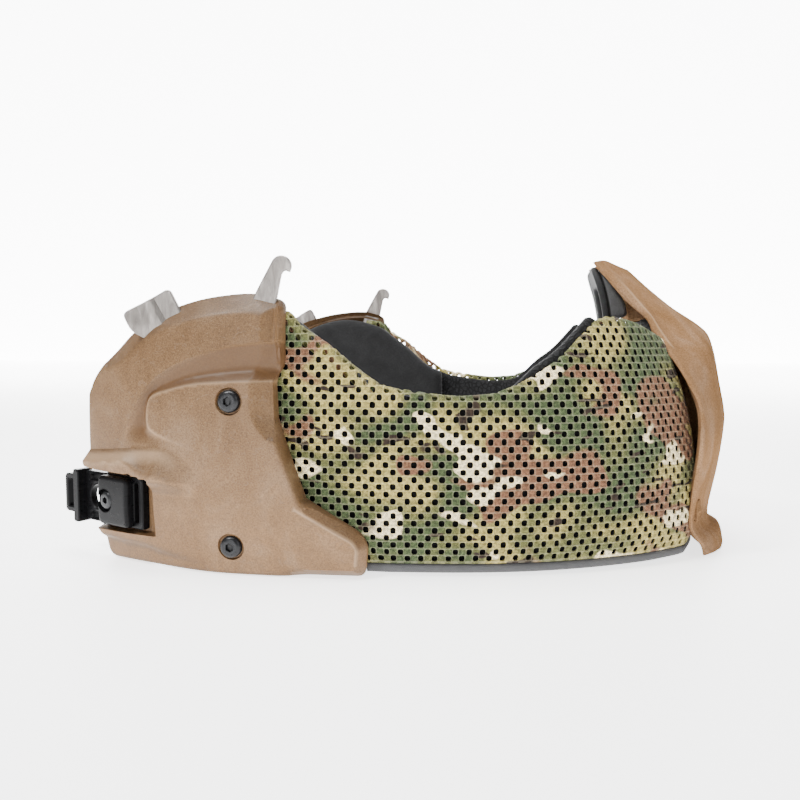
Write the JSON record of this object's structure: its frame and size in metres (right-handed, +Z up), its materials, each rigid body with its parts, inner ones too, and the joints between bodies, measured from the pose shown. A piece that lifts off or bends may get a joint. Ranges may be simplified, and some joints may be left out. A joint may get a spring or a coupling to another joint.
{
  "type": "lower face mask",
  "caption": "Helmet-hung lower face mask: rigid cheek shells with steel hooks and strap anchors, camouflage mesh cover with padded lining, moulded nose and mouth guard.",
  "frame": {"origin": "middle of the footprint, on the plane the mask stands on", "axes": "+X forward out of the mouth guard, +Y to the wearer's left, +Z up"},
  "size_m": [0.2479, 0.1872, 0.111],
  "materials": {
    "tan_polymer": "moulded nylon with fine texture",
    "black_polymer": "semi-gloss moulding",
    "black_steel": "blackened",
    "hook_steel": "bead blasted",
    "camo_mesh": "printed mesh cloth",
    "spacer_mesh": "black spacer mesh",
    "pad_fabric": "napped lining",
    "binding_tape": "woven tape",
    "nose_rubber": "matte moulding",
    "nose_foam": "closed cell foam"
  },
  "bodies": {
    "face_front": {"bottom_binding": "binding_tape", "front_guard": "tan_polymer", "guard_bracket": "tan_polymer", "left_camo_panel": "camo_mesh", "left_cheek_liner": "spacer_mesh", "left_guard_clip": "tan_polymer", "mouth_mesh": "spacer_mesh", "nose_cushion": "nose_foam", "nose_frame": "nose_rubber", "right_camo_panel": "camo_mesh", "right_cheek_liner": "spacer_mesh", "right_guard_clip": "tan_polymer"},
    "right_side": {"right_shell": "tan_polymer", "right_hook_bracket": "hook_steel", "right_backing_plate": "black_polymer", "right_shell_screws": "black_steel", "right_shell_nuts": "black_steel", "right_cloth_margin": "camo_mesh", "right_ear_pad": "pad_fabric", "right_clamp_plate": "black_polymer", "right_anchor_screw": "black_steel", "right_anchor_nut": "black_steel"},
    "right_anchor": {"right_anchor_track": "black_polymer", "right_strap_bar": "black_polymer"},
    "left_side": {"left_shell": "tan_polymer", "left_hook_bracket": "hook_steel", "left_backing_plate": "black_polymer", "left_shell_screws": "black_steel", "left_shell_nuts": "black_steel", "left_cloth_margin": "camo_mesh", "left_ear_pad": "pad_fabric", "left_clamp_plate": "black_polymer", "left_anchor_screw": "black_steel", "left_anchor_nut": "black_steel"},
    "left_anchor": {"left_anchor_track": "black_polymer", "left_strap_bar": "black_polymer"}
  },
  "joints": [
    {"name": "right_side_flex", "type": "hinge", "parent": "face_front", "child": "right_side", "pos_m": [0.004, -0.081, 0.03], "axis": [0, 0, -1], "range_deg": [-10, 25], "stiffness_Nm_per_rad": 0.06},
    {"name": "right_anchor_slide", "type": "slide", "parent": "right_side", "child": "right_anchor", "axis": [-0.9135, 0.4067, 0], "range_m": [-0.002, 0.005]},
    {"name": "left_side_flex", "type": "hinge", "parent": "face_front", "child": "left_side", "pos_m": [0.004, 0.081, 0.03], "axis": [0, 0, 1], "range_deg": [-10, 25], "stiffness_Nm_per_rad": 0.06},
    {"name": "left_anchor_slide", "type": "slide", "parent": "left_side", "child": "left_anchor", "axis": [-0.9135, -0.4067, 0], "range_m": [-0.002, 0.005]}
  ]
}
